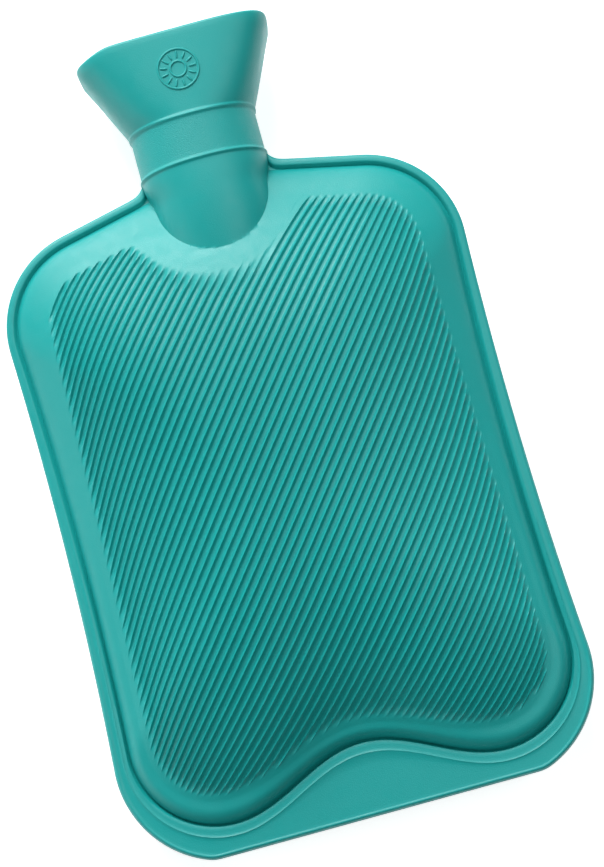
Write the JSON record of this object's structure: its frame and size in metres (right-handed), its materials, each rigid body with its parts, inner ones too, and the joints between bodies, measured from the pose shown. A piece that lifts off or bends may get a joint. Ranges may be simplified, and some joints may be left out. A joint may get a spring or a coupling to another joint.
{
  "type": "hot water bottle",
  "caption": "Moulded rubber hot water bottle with a diagonally ribbed front, a rim bead with a wavy bottom tab, a banded neck, a wide filling funnel and a screw stopper inside it",
  "frame": {"origin": "on the ground, under the middle of the bottle's length and width", "axes": "+X across the bottle, +Y from the bottom tab to the filling funnel, +Z out of the ribbed front; the bottle lies on its back"},
  "size_m": [0.1996, 0.334, 0.057],
  "materials": {
    "teal_rubber": "semi-matte moulded rubber with a fine grain, teal all through",
    "socket_plastic": "off-white injection-moulded plastic",
    "stopper_plastic": "off-white injection-moulded plastic",
    "washer_rubber": "dark flat rubber"
  },
  "bodies": {
    "bottle": {"bottle": "teal_rubber", "neck_socket": "socket_plastic"},
    "washer": {"stopper_washer": "washer_rubber"},
    "stopper": {"stopper": "stopper_plastic"}
  },
  "joints": [
    {"name": "stopper_lift", "type": "slide", "parent": "bottle", "child": "washer", "axis": [0, 1, 0], "range_m": [0, 0.0601]},
    {"name": "stopper_turn", "type": "hinge", "parent": "washer", "child": "stopper", "pos_m": [0, 0.1375, 0.026], "axis": [0, 1, 0], "range_deg": [0, 5400]}
  ],
  "couplings": [
    {"joint": "stopper_lift", "follows": "stopper_turn", "m_per_rad": 0.00063662}
  ]
}
